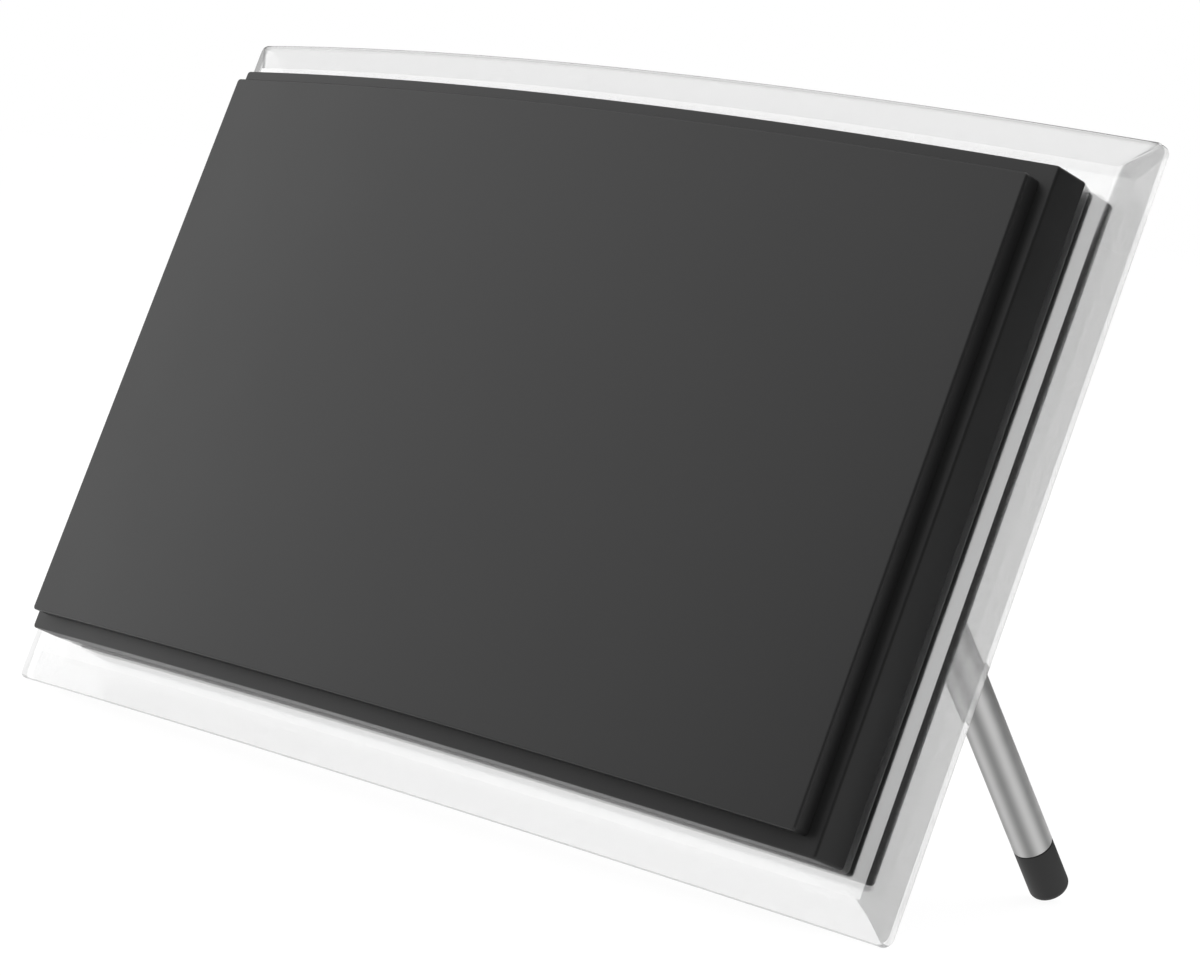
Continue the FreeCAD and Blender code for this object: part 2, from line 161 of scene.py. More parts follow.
def place(name, default, description):
    """A place property in metres."""
    return FloatVectorProperty(name=name, description=description, default=default, size=3,
                               subtype="TRANSLATION")


def colour(name, default, description):
    """A linear colour property."""
    return FloatVectorProperty(name=name, description=description, default=default, size=3, subtype="COLOR",
                               min=0.0, max=1.0)


def factor(name, default, description, high=1.0):
    """A plain number property from zero upwards."""
    return FloatProperty(name=name, description=description, default=default, min=0.0, max=high)


class AntennaPanelSizes(bpy.types.PropertyGroup):
    """Sizes of the bent panel: clear plate, front housing and face panel."""

    bend: length("Bend radius", 0.852, "Radius of the panel's bend")
    plate_width: length("Plate width", 0.265, "Clear plate, edge to edge")
    plate_height: length("Plate height", 0.157, "Clear plate, bottom to top")
    plate_thickness: length("Plate thickness", 0.004, "Thickness of the clear sheet")
    plate_corner: length("Plate corner", 0.0022, "Radius of the clear plate's corners")
    bevel_run: length("Bevel run", 0.00665, "Width of the plate's bevel")
    bevel_drop: length("Bevel drop", 0.00215, "Depth of the plate's bevel at its outer edge")
    plate_edge: length("Plate edge", 0.00022, "Rounding of the plate's polished edges")
    air_gap: length("Air gap", 0.00006, "Gap left between the clear plate and what lies on it")
    housing_width: length("Housing width", 0.2392, "Front housing, at its front")
    housing_height: length("Housing height", 0.1358, "Front housing, bottom to top")
    housing_depth: length("Housing depth", 0.0073, "Front housing, plate to front")
    housing_draft: length("Housing draft", 0.0009, "How far each side wall flares towards the plate")
    housing_rim: length("Housing rim", 0.0026, "Width of the housing's rim on the plate")
    housing_wall: length("Housing wall", 0.002, "Thickness of the housing's front wall")
    face_width: length("Face width", 0.2329, "Raised face panel, side to side")
    face_height: length("Face height", 0.1288, "Raised face panel, bottom to top")
    face_raise: length("Face raise", 0.00385, "How far the face panel stands proud of the housing")
    face_rim: length("Face rim", 0.0022, "Width of the face panel's rim on the housing")
    face_wall: length("Face wall", 0.0017, "Thickness of the face panel")
    edge_round: length("Edge round", 0.0004, "Rounding of the moulded edges")
    corner_round: length("Corner round", 0.0008, "Rounding of the moulded corners")


class AntennaLegSizes(bpy.types.PropertyGroup):
    """Sizes of the legs and their feet."""

    offset: length("Offset", 0.112, "Distance of each leg from the panel's middle")
    drop: length("Drop", 0.00975, "How far below the panel's middle each leg starts")
    lean: angle("Angle", 57.4, "Angle between a leg and the panel")
    seat: length("Seat", 0.0076, "Distance along a leg from the plate's back to its socket's floor")
    reach: length("Reach", 0.080998, "Distance along a leg from the plate's back to its end")
    radius: length("Radius", 0.004, "Outside radius of the tube and foot")
    bore: length("Bore", 0.003, "Inside radius of the tube")
    cap: length("Foot", 0.012, "Length of the rubber foot")
    spigot: length("Spigot", 0.008, "Length of the foot's plug inside the tube")
    cap_round: length("Foot round", 0.0015, "Rounding of the foot's end")
    tube_edge: length("Tube edge", 0.00025, "Rounding of the tube's cut ends")


class AntennaOutletSizes(bpy.types.PropertyGroup):
    """Sizes of the coax outlet's threaded body."""

    flange_front: length("Flange front", 0.0095, "Depth of the flange's front face")
    flange_back: length("Flange back", 0.012, "Depth of the flange's back face")
    flange_flats: length("Flange flats", 0.012, "Flange, across its flats")
    thread_start: length("Thread start", 0.017, "Depth where the free thread starts")
    thread_end: length("Thread end", 0.026, "Depth of the outlet's end face")
    crest: length("Crest radius", 0.00476, "Outside radius of the thread")
    root: length("Root radius", 0.0043, "Root radius of the thread")
    bore: length("Bore radius", 0.0036, "Inside radius of the body")
    pitch: length("Pitch", 0.00079375, "Advance of the thread in one turn")
    chamfer: length("Chamfer", 0.0005, "Lead-in at the thread's end")


class AntennaFinishes(bpy.types.PropertyGroup):
    """Colours of the finishes, and the painted shade of the clear plate: how much light each kind of its
    faces lets through, darker or lighter by the face's lean.
    """

    face: colour("Face", (0.030, 0.030, 0.0303), "Satin charcoal of the face panel")
    housing: colour("Housing", (0.025, 0.025, 0.0252), "Satin black of the front housing")
    rear: colour("Rear cover", (0.014, 0.014, 0.014), "Grained black of the rear cover")
    # The rear cover's rim is coloured pale where it lies against the plate
    pale_strip: colour("Tape", (0.90, 0.90, 0.90), "Pale tape on the rear cover's rim, against the plate")
    # Painted shade on the clear plate: each kind of face lets through its own share of light, set by its
    # lean, in place of the light and shade the surround would give it
    sheet_painted_shade: factor("Sheet tint", 0.60, "Light that the clear plate's flat faces let through")
    side_painted_shade: factor("Side tint", 0.78, "Light that the bevels at the plate's sides let through")
    top_painted_shade: factor("Top tint", 0.40, "Light that the bevel along the plate's top lets through")
    bottom_painted_shade: factor("Bottom tint", 0.72, "Light that the bevel along the plate's bottom lets through")
    rim_painted_shade: factor("Rim tint", 0.75, "Light that the plate's sawn sides let through")
    edge_painted_shade: factor("Edge tint", 0.3, "Light that the plate's top and bottom edges let through")
    # Painted reflections: the light and dark bands along the legs' metal
    tube_reflection_light: colour("Tube, light", (0.66, 0.657, 0.655), "Lighter bands along the drawn metal of the legs")
    tube_reflection_dark: colour("Tube, dark", (0.31, 0.31, 0.308), "Darker bands along the drawn metal of the legs")
    rubber: colour("Rubber", (0.022, 0.022, 0.022), "Black rubber of the feet")
    nickel: colour("Nickel", (0.62, 0.60, 0.56), "Plating of the outlet")
    zinc: colour("Zinc", (0.46, 0.46, 0.47), "Plating of the screws")
    brass: colour("Brass", (0.62, 0.42, 0.16), "Turned brass")
    sheet: colour("Sheet metal", (0.72, 0.72, 0.72), "Mill finish of the elements")
    tin: colour("Tinned wire", (0.60, 0.58, 0.55), "Tinned copper of the leads")
    enamel: colour("Enamel", (0.42, 0.14, 0.05), "Enamelled wire of the windings")
    board: colour("Board", (0.012, 0.10, 0.035), "Solder mask of the board")
    ferrite: colour("Ferrite", (0.03, 0.03, 0.032), "Sintered core")
    insulator: colour("Insulator", (0.78, 0.78, 0.75), "White plastic in the outlet")


class AntennaStudio(bpy.types.PropertyGroup):
    """The camera, the lights and the floor."""

    camera_place: place("Camera place", (0.57152614, -0.54713547, 0.14561191), "Where the camera stands")
    camera_turn: FloatVectorProperty(name="Camera turn", description="How the camera is turned", size=3,
                                     default=(1.46926939, -0.11097546, 0.8018061), subtype="EULER")
    focal_pixels: factor("Focal length", 3846.09, "Focal length in pixels of the full picture", high=20000.0)
    ambient: factor("Ambient", 0.52, "Even light from all round", high=10.0)
    mirrored: factor("Mirrored", 0.05, "Surround's brightness in glossy surfaces", high=10.0)
    side_power: factor("Side light", 10.0, "Power of the soft light on the left, in watts", high=100.0)
    side_place: place("Side light place", (-0.80, -0.56, 0.68), "Where the soft light on the left stands")
    side_size: length("Side light size", 1.6, "Width of the soft light on the left")
    top_power: factor("Top light", 3.3, "Power of the soft light overhead, in watts", high=100.0)
    top_place: place("Top light place", (0.0, -0.05, 1.35), "Where the soft light overhead hangs")
    top_size: length("Top light size", 0.7, "Width of the soft light overhead")
    back_power: factor("Back light", 4.0, "Power of the soft light behind, in watts", high=100.0)
    back_place: place("Back light place", (0.0, 0.80, 1.05), "Where the soft light behind hangs")
    back_size: length("Back light size", 1.0, "Width of the soft light behind")
    floor_glow: factor("Floor glow", 0.94, "Share of the floor's white that no shadow reaches", high=2.0)
    floor_size: length("Floor size", 8.0, "Width of the square floor")


# Geometry helpers

def to_row(points):
    """Panel points (across, back, up) turned and moved into the row's frame."""
    return points @ PANEL + PANEL_ORIGIN


def bulge(across, bend):
    """Depth of the bend at a distance from the panel's middle: the sagitta of a circle of radius bend."""
    return bend - np.sqrt(bend ** 2 - across ** 2)


def half_outline(width, height, radius):
    """Upper half of a rounded rectangle, left to right: a quarter turn, a straight run, a quarter turn."""
    turn = np.linspace(0.0, math.pi / 2, CORNER_STEPS + 1)
    mid_x, mid_z = width / 2 - radius, height / 2 - radius
    left = np.column_stack([-mid_x - radius * np.cos(turn), mid_z + radius * np.sin(turn)])
    run = np.linspace(-mid_x, mid_x, BEND_COLUMNS + 1)[1:-1]
    top = np.column_stack([run, np.full(run.size, height / 2)])
    return np.concatenate([left, top, left[::-1] * (-1, 1)])


def bent_ring(width, height, radius, depth, bend):
    """A rounded rectangle pushed back onto the bend, at a depth behind the plate's front."""
    half = half_outline(width, height, radius)
    loop = np.concatenate([half, half[::-1] * (1, -1)])
    return np.column_stack([loop[:, 0], depth + bulge(loop[:, 0], bend), loop[:, 1]])


def eased(start, corner, end):
    """A rounded corner of a profile: the quarter of an ellipse from start to end that the corner encloses."""
    turn = np.linspace(0.0, math.pi / 2, EDGE_STEPS + 1)[:, None]
    start, corner, end = (np.asarray(p, dtype=float) for p in (start, corner, end))
    return corner + (start - corner) * (1 - np.sin(turn)) + (end - corner) * (1 - np.cos(turn))


def grid_faces(rows, columns, close_rows=False):
    """Quads of a grid whose columns run round a closed loop, and whose rows may close as well."""
    index = np.arange(rows * columns).reshape(rows, columns)
    if close_rows:
        index = np.concatenate([index, index[:1]])
    near, far = index[:-1], index[1:]
    return np.stack([near, np.roll(near, -1, 1), np.roll(far, -1, 1), far], -1).reshape(-1, 4)


def ring_faces(count, size):
    """Quads from each ring to the next, and ruled strips that close the first and the last ring."""
    i = np.arange(size // 2 - 1)
    strip = np.stack([i, i + 1, size - 2 - i, size - 1 - i], -1)
    return np.concatenate([grid_faces(count, size), strip[:, ::-1], strip + (count - 1) * size])


def bent_shell(profile, width, height, corner, bend, shrink=1.0):
    """Rings of a profile of (side inset, end inset, depth) carried round a bent rounded rectangle.

    Each ring is the outline less its insets, and its corner radius is less shrink times the end inset, down
    to nothing.
    """
    rings = []
    for side, end, depth in profile:
        radius = max(corner - shrink * max(end, 0.0), 0.0)
        rings.append(bent_ring(width - 2 * side, height - 2 * end, radius, depth, bend))
    return np.concatenate(rings), ring_faces(len(rings), len(rings[0]))


def round_axes(way):
    """The two directions that span a circle round an axis: across, and square to that and the axis."""
    side = np.array([1.0, 0.0, 0.0])
    return side, np.cross(way, side)


def lathe(profile, start, way, close_rows=False, shape=None):
    """A profile of (distance, radius) turned round an axis: start + way * distance + radius * circle.

    shape, if given, turns the array of radii into one that also changes with the angle.
    """
    profile = np.asarray(profile, dtype=float)
    turn = np.linspace(0.0, 2 * math.pi, ROUND_STEPS, endpoint=False)
    side, other = round_axes(way)
    circle = np.cos(turn)[:, None] * side + np.sin(turn)[:, None] * other
    radius = np.repeat(profile[:, 1:2], ROUND_STEPS, axis=1)
    if shape is not None:
        radius = shape(profile[:, 0:1], radius, turn[None, :])
    centre = start + profile[:, :1] * way
    points = centre[:, None, :] + radius[:, :, None] * circle[None, :, :]
    return points.reshape(-1, 3), grid_faces(len(profile), ROUND_STEPS, close_rows)


def finish_piece(name, points, faces, material, slot, *nodes):
    """Makes a piece's closed, smooth-shaded mesh, with its finish, body and the nodes it replaces; the slot
    it is given is not used.
    """
    mesh = bpy.data.meshes.new(name)
    mesh.from_pydata(to_row(points).tolist(), [], faces.tolist())
    work = bmesh.new()
    work.from_mesh(mesh)
    bmesh.ops.remove_doubles(work, verts=work.verts, dist=MERGE_DISTANCE)
    bmesh.ops.dissolve_degenerate(work, edges=work.edges, dist=MERGE_DISTANCE)
    bmesh.ops.recalc_face_normals(work, faces=work.faces)
    work.to_mesh(mesh)
    work.free()
    mesh.polygons.foreach_set("use_smooth", np.ones(len(mesh.polygons), dtype=bool))
    mesh.set_sharp_from_angle(angle=SHARP_ANGLE)
    mesh.materials.append(material)
    piece = bpy.data.objects.new(name, mesh)
    bpy.context.scene.collection.objects.link(piece)
    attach(piece, "root")
    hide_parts(*nodes)
    return piece


def vectors(items, name):
    """What each vertex or face of a mesh holds under a name, as rows of three numbers."""
    values = np.empty(3 * len(items))
    items.foreach_get(name, values)
    return values.reshape(-1, 3)


# Shader helpers

def new_finish(name):
    """A new node material with its tree and its principled shader."""
    material = bpy.data.materials.new(name)
    material.use_nodes = True
    tree = material.node_tree
    return material, tree, tree.nodes["Principled BSDF"]


def feed(tree, value, socket):
    """Links a socket to a value that comes from a node, or sets it to a plain one."""
    if isinstance(value, bpy.types.NodeSocket):
        tree.links.new(value, socket)
    else:
        socket.default_value = value


def noise(tree, scale, detail, stretch=(1.0, 1.0, 1.0)):
    """Noise on the object's own coordinates, in features per metre, stretched along its axes."""
    where = tree.nodes.new("ShaderNodeTexCoord")
    mapping = tree.nodes.new("ShaderNodeMapping")
    texture = tree.nodes.new("ShaderNodeTexNoise")
    mapping.inputs["Scale"].default_value = stretch
    texture.inputs["Scale"].default_value = scale
    texture.inputs["Detail"].default_value = detail
    tree.links.new(where.outputs["Object"], mapping.inputs["Vector"])
    tree.links.new(mapping.outputs["Vector"], texture.inputs["Vector"])
    return texture.outputs["Fac"]


def spread(tree, value, middle, change):
    """Spreads a noise value to both sides of a middle number."""
    node = tree.nodes.new("ShaderNodeMapRange")
    node.inputs["From Min"].default_value, node.inputs["From Max"].default_value = NOISE_RANGE
    node.inputs["To Min"].default_value = middle - change
    node.inputs["To Max"].default_value = middle + change
    tree.links.new(value, node.inputs["Value"])
    return node.outputs["Result"]


def mixed(tree, share, first, second):
    """The first colour where a share is nothing, the second where it is one, and their mix between."""
    node = tree.nodes.new("ShaderNodeMix")
    node.data_type = "RGBA"
    for value, name in ((share, "Factor"), (first, "A"), (second, "B")):
        feed(tree, value, node.inputs[name])
    return node.outputs["Result"]


def tone(tree, value, base, change):
    """A colour that a noise value lightens and darkens by a share of itself."""
    dark = (*(c * (1 - change) for c in base), 1.0)
    light = (*(min(c * (1 + change), 1.0) for c in base), 1.0)
    return mixed(tree, value, dark, light)


def relief(tree, shader, value, height, strength):
    """Bumps the shader's normal by a noise value, with the relief's height in metres."""
    node = tree.nodes.new("ShaderNodeBump")
    node.inputs["Distance"].default_value = height
    node.inputs["Strength"].default_value = strength
    tree.links.new(value, node.inputs["Height"])
    tree.links.new(node.outputs["Normal"], shader.inputs["Normal"])


def painted(tree, name):
    """The value that a piece's faces or points carry under a name."""
    node = tree.nodes.new("ShaderNodeAttribute")
    node.attribute_name = name
    return node.outputs["Fac"]


def maths(tree, operation, *values, kind="ShaderNodeMath"):
    """The result of a maths node on numbers, vectors or values that come from nodes."""
    node = tree.nodes.new(kind)
    node.operation = operation
    for value, socket in zip(values, node.inputs):
        feed(tree, value, socket)
    return node.outputs["Value"]


# Finishes

def moulded_plastic(name, base):
    """Moulded plastic: a fine spark-eroded grain, faint clouding of its tone and a slightly uneven gloss."""
    material, tree, shader = new_finish(name)
    look = PLASTICS[name]
    shader.inputs["Specular IOR Level"].default_value = look.specular
    cloud = noise(tree, CLOUD_SCALE, TONE_DETAIL)
    tree.links.new(tone(tree, cloud, base, CLOUD_TONE), shader.inputs["Base Color"])
    tree.links.new(spread(tree, cloud, look.roughness, CLOUD_GLOSS), shader.inputs["Roughness"])
    relief(tree, shader, noise(tree, look.grain, GRAIN_DETAIL), look.height, look.strength)
    return material


def plated_metal(name, base):
    """Plated or drawn metal: fine streaks in its gloss and a faint relief along them."""
    material, tree, shader = new_finish(name)
    look = METALS[name]
    shader.inputs["Metallic"].default_value = 1.0
    streak = noise(tree, look.grain, TONE_DETAIL, look.stretch)
    tree.links.new(tone(tree, streak, base, STREAK_TONE), shader.inputs["Base Color"])
    tree.links.new(spread(tree, streak, look.roughness, STREAK_GLOSS), shader.inputs["Roughness"])
    relief(tree, shader, streak, STREAK_HEIGHT, look.strength)
    return material


def reflection_banded_metal(name, light, dark):
    """Drawn metal whose tone follows painted reflections, bands painted along a tube, with fine streaks in
    its gloss.
    """
    material = plated_metal(name, light)
    tree = material.node_tree
    shader = tree.nodes["Principled BSDF"]
    shader.inputs["Metallic"].default_value = SATIN_METAL
    # Painted reflection: the tube's tone follows the painted light and dark bands
    reflection_bands = mixed(tree, painted(tree, "reflection_bands"), (*dark, 1.0), (*light, 1.0))
    tree.links.new(reflection_bands, shader.inputs["Base Color"])
    return material


def paint_tube_reflections(piece, seat, way):
    """Paints lengthwise bands of reflection on a tube: a cosine wave of the angle round its axis, from
    nothing to one.
    """
    mesh = piece.data
    points = (vectors(mesh.vertices, "co") - PANEL_ORIGIN) @ PANEL.T - seat
    side, other = round_axes(way)
    turn = np.arctan2(points @ other, points @ side)
    reflection_bands = 0.5 + 0.5 * np.cos(TUBE_REFLECTION_BANDS * (turn - TUBE_REFLECTION_ANGLE))
    mesh.attributes.new("reflection_bands", "FLOAT", "POINT").data.foreach_set("value", reflection_bands)


def clear_acrylic():
    """Clear acrylic whose tint is the painted shade that its faces carry, with the gloss they carry: glossy
    where it is polished.
    """
    material, tree, shader = new_finish("clear_acrylic")
    tree.links.new(painted(tree, "painted_shade"), shader.inputs["Base Color"])
    tree.links.new(painted(tree, "gloss"), shader.inputs["Coat Weight"])
    shader.inputs["Transmission Weight"].default_value = 1.0
    shader.inputs["Roughness"].default_value = 0.0
    shader.inputs["IOR"].default_value = ACRYLIC_IOR
    shader.inputs["Coat Roughness"].default_value = COAT_ROUGHNESS
    shader.inputs["Coat IOR"].default_value = COAT_IOR
    return material


def paint_plate(piece, bend, finishes):
    """Gives each face of the plate its gloss and a painted shade, darker or lighter by how steeply it leans
    away from the bent sheet.

    The sheet's normal turns with the bend, so the lean is measured after turning it back by that angle.
    """
    mesh = piece.data
    turn = np.arcsin((vectors(mesh.polygons, "center") - PANEL_ORIGIN) @ ACROSS / bend)
    normal = vectors(mesh.polygons, "normal") @ PANEL.T
    side = normal[:, 0] * np.cos(turn) + normal[:, 1] * np.sin(turn)
    lean = np.hypot(side, normal[:, 2])
    polished = lean < RIM_LEAN
    ends = np.abs(normal[:, 2]) > np.abs(side)
    # Painted shade: top, bottom and side bevels, edges, rim and flat faces each get their own tint by their
    # lean
    end_painted_shade = np.where(normal[:, 2] > 0.0, finishes.top_painted_shade, finishes.bottom_painted_shade)
    bevel_painted_shade = np.where(ends, end_painted_shade, finishes.side_painted_shade)
    painted_shade = np.select([lean < BEVEL_LEAN, ends & (lean > EDGE_LEAN), polished],
                     [finishes.sheet_painted_shade, finishes.edge_painted_shade, bevel_painted_shade], finishes.rim_painted_shade)
    for name, values in (("painted_shade", painted_shade), ("gloss", polished.astype(float))):
        mesh.attributes.new(name, "FLOAT", "FACE").data.foreach_set("value", values)


def pale_strip_on_rim(material, base, depth, bend):
    """Colours what lies in front of a depth behind the plate's front face, on the bent rim of the rear cover.

    A point's depth is its distance back along the panel's axis, less the bend's sagitta, across^2 / (2 bend).
    """
    tree = material.node_tree
    skin = tree.nodes["Principled BSDF"].inputs["Base Color"]
    where = tree.nodes.new("ShaderNodeTexCoord").outputs["Object"]
    across, back = (maths(tree, "DOT_PRODUCT", where, axis, kind="ShaderNodeVectorMath")
                    for axis in (ACROSS, BACK))
    square = maths(tree, "MULTIPLY", across, across)
    flat = maths(tree, "MULTIPLY_ADD", square, -0.5 / bend, back)
    near = maths(tree, "LESS_THAN", flat, PANEL_ORIGIN @ BACK + depth)
    tree.links.new(mixed(tree, near, skin.links[0].from_socket, (*base, 1.0)), skin)


def dress_node(material, *nodes):
    """Gives packed nodes that keep their shape a finish."""
    for node in nodes:
        mesh = frame["nodes"][node].data
        mesh.materials.clear()
        mesh.materials.append(material)


# Operators, one for each piece or group of like pieces

class ANTENNA_OT_plate(bpy.types.Operator):
    """Makes the bent clear plate with its mitred bevel"""

    bl_idname = "antenna.plate"
    bl_label = "Clear Plate"

    def execute(self, context):
        s = context.scene.antenna_panel
        edge, run, drop = s.plate_edge, s.bevel_run, s.bevel_drop
        back = s.plate_thickness - s.air_gap
        slope, start = drop / run, BEVEL_START * edge
        profile = np.concatenate([
            eased((edge, edge, back), (0.0, 0.0, back), (0.0, 0.0, back - edge)),
            eased((0.0, 0.0, drop + edge), (0.0, 0.0, drop), (edge, edge, drop - slope * edge)),
            [(start, start, drop - slope * start), (run, run, 0.0)],
        ])
        points, faces = bent_shell(profile, s.plate_width, s.plate_height, s.plate_corner, s.bend,
                                   shrink=MITRE_SHRINK)
        piece = finish_piece("plate_clear", points, faces, clear_acrylic(), "clear_acrylic", "clear_plate")
        paint_plate(piece, s.bend, context.scene.antenna_finishes)
        return {"FINISHED"}


class ANTENNA_OT_housing(bpy.types.Operator):
    """Makes the drafted front housing with its rounded edges"""

    bl_idname = "antenna.housing"
    bl_label = "Front Housing"

    def execute(self, context):
        s = context.scene.antenna_panel
        edge, rim, draft = s.edge_round, s.housing_rim, s.housing_draft
        front, foot = -s.housing_depth, -s.air_gap
        lean = draft * edge / s.housing_depth
        profile = np.concatenate([
            [(rim, rim, front + s.housing_wall), (rim, rim, foot), (-draft, 0.0, foot)],
            eased((-lean, 0.0, front + edge), (0.0, 0.0, front), (edge, edge, front)),
        ])
        points, faces = bent_shell(profile, s.housing_width, s.housing_height, s.corner_round, s.bend)
        material = moulded_plastic("housing_black", context.scene.antenna_finishes.housing)
        finish_piece("housing_shell", points, faces, material, "housing_black", "front_housing")
        return {"FINISHED"}


class ANTENNA_OT_face(bpy.types.Operator):
    """Makes the raised face panel"""

    bl_idname = "antenna.face"
    bl_label = "Face Panel"

    def execute(self, context):
        s = context.scene.antenna_panel
        edge, rim = s.edge_round, s.face_rim
        foot = -s.housing_depth - s.air_gap
        front = -s.housing_depth - s.face_raise
        profile = np.concatenate([
            [(rim, rim, front + s.face_wall), (rim, rim, foot), (0.0, 0.0, foot)],
            eased((0.0, 0.0, front + edge), (0.0, 0.0, front), (edge, edge, front)),
        ])
        points, faces = bent_shell(profile, s.face_width, s.face_height, s.corner_round, s.bend)
        material = moulded_plastic("face_black", context.scene.antenna_finishes.face)
        finish_piece("face_shell", points, faces, material, "face_black", "face_panel")
        return {"FINISHED"}


class ANTENNA_OT_rear(bpy.types.Operator):
    """Gives the rear cover its grained black finish, coloured pale where it lies on the plate"""

    bl_idname = "antenna.rear"
    bl_label = "Rear Cover"

    def execute(self, context):
        finishes, panel = context.scene.antenna_finishes, context.scene.antenna_panel
        material = moulded_plastic("rear_black", finishes.rear)
        pale_strip_on_rim(material, finishes.pale_strip, panel.plate_thickness + PALE_STRIP_DEPTH, panel.bend)
        dress_node(material, "rear_cover")
        return {"FINISHED"}


class ANTENNA_OT_legs(bpy.types.Operator):
    """Makes the two leg tubes and their rubber feet"""

    bl_idname = "antenna.legs"
    bl_label = "Legs and Feet"

    def execute(self, context):
        s, panel = context.scene.antenna_legs, context.scene.antenna_panel
        finishes = context.scene.antenna_finishes
        metal = reflection_banded_metal("leg_metal", finishes.tube_reflection_light, finishes.tube_reflection_dark)
        rubber = moulded_plastic("foot_rubber", finishes.rubber)
        way = np.array([0.0, math.sin(s.lean), -math.cos(s.lean)])
        joint, edge = s.reach - s.cap, s.tube_edge
        tube = np.concatenate([
            [(s.seat, s.bore)],
            eased((s.seat, s.radius - edge), (s.seat, s.radius), (s.seat + edge, s.radius)),
            eased((joint - edge, s.radius), (joint, s.radius), (joint, s.radius - edge)),
            [(joint, s.bore)],
        ])
        foot = np.concatenate([
            [(joint - s.spigot, 0.0), (joint - s.spigot, s.bore), (joint, s.bore)],
            eased((joint, s.radius - edge), (joint, s.radius), (joint + edge, s.radius)),
            eased((s.reach - s.cap_round, s.radius), (s.reach, s.radius), (s.reach, s.radius - s.cap_round)),
            [(s.reach, 0.0)],
        ])
        for name, side in SIDES.items():
            across = side * s.offset
            seat = np.array([across, panel.plate_thickness + bulge(across, panel.bend), -s.drop])
            points, faces = lathe(tube, seat, way, close_rows=True)
            piece = finish_piece("tube_" + name, points, faces, metal, "leg_metal", "leg_tube_" + name)
            paint_tube_reflections(piece, seat, way)
            points, faces = lathe(foot, seat, way)
            finish_piece("foot_" + name, points, faces, rubber, "foot_rubber", "foot_cap_" + name)
        return {"FINISHED"}


class ANTENNA_OT_outlet(bpy.types.Operator):
    """Makes the outlet's threaded body and dresses its nut, washer and insulator"""

    bl_idname = "antenna.outlet"
    bl_label = "Coax Outlet"

    def execute(self, context):
        s, finishes = context.scene.antenna_outlet, context.scene.antenna_finishes
        flat = s.flange_flats / 2
        flange = [(s.flange_front, s.bore), (s.flange_front, flat), (s.flange_back, flat)]
        neck = [(s.flange_back, s.crest), (s.thread_start, s.crest)]
        thread = np.linspace(s.thread_start, s.thread_end - s.chamfer, THREAD_STEPS)
        thread = np.column_stack([thread, np.full(THREAD_STEPS, s.crest)])
        end = [(s.thread_end, s.root), (s.thread_end, s.bore)]
        profile = np.concatenate([flange, neck, thread, end])
        hexagon = slice(1, len(flange))
        first_turn = len(flange) + len(neck)
        turns = slice(first_turn, first_turn + THREAD_STEPS)

        def shape(depth, radius, turn):
            """A hexagon on the flange, and a helical ridge on the thread.

            The hexagon's radius is its half width over the cosine of the angle from the nearest flat's
            middle. The ridge falls from the crest to the root with the distance from the helix, in a
            triangle wave.
            """
            radius = radius.copy()
            sixth = math.pi / 3
            radius[hexagon] /= np.cos((turn + sixth / 2) % sixth - sixth / 2)
            phase = (depth[turns] / s.pitch - turn / (2 * math.pi)) % 1.0
            radius[turns] = s.crest - (s.crest - s.root) * np.abs(2 * phase - 1)
            return radius

        points, faces = lathe(profile, np.zeros(3), np.array([0.0, 1.0, 0.0]), close_rows=True, shape=shape)
        nickel = plated_metal("nickel_plate", finishes.nickel)
        finish_piece("outlet_body", points, faces, nickel, "nickel_plate", "coax_socket")
        dress_node(nickel, "socket_nut", "socket_washer")
        dress_node(moulded_plastic("white_insulator", finishes.insulator), "socket_insulator")
        return {"FINISHED"}


class ANTENNA_OT_hardware(bpy.types.Operator):
    """Gives the screws, inserts and inner pieces their finishes"""

    bl_idname = "antenna.hardware"
    bl_label = "Screws and Inner Pieces"

    def execute(self, context):
        f = context.scene.antenna_finishes
        dress_node(plated_metal("screw_steel", f.zinc), "housing_screws", "element_screws", "board_screws",
                   "leg_stud_left", "leg_stud_right")
        dress_node(plated_metal("contact_brass", f.brass), "leg_insert_left", "leg_insert_right",
                   "socket_contact")
        dress_node(plated_metal("element_sheet", f.sheet), "element_left", "element_right")
        dress_node(plated_metal("tinned_copper", f.tin), "feed_lead_left", "feed_lead_right")
        dress_node(plated_metal("enamel_wire", f.enamel), "primary_winding", "secondary_winding")
        dress_node(moulded_plastic("board_green", f.board), "balun_board")
        dress_node(moulded_plastic("ferrite", f.ferrite), "balun_core")
        return {"FINISHED"}


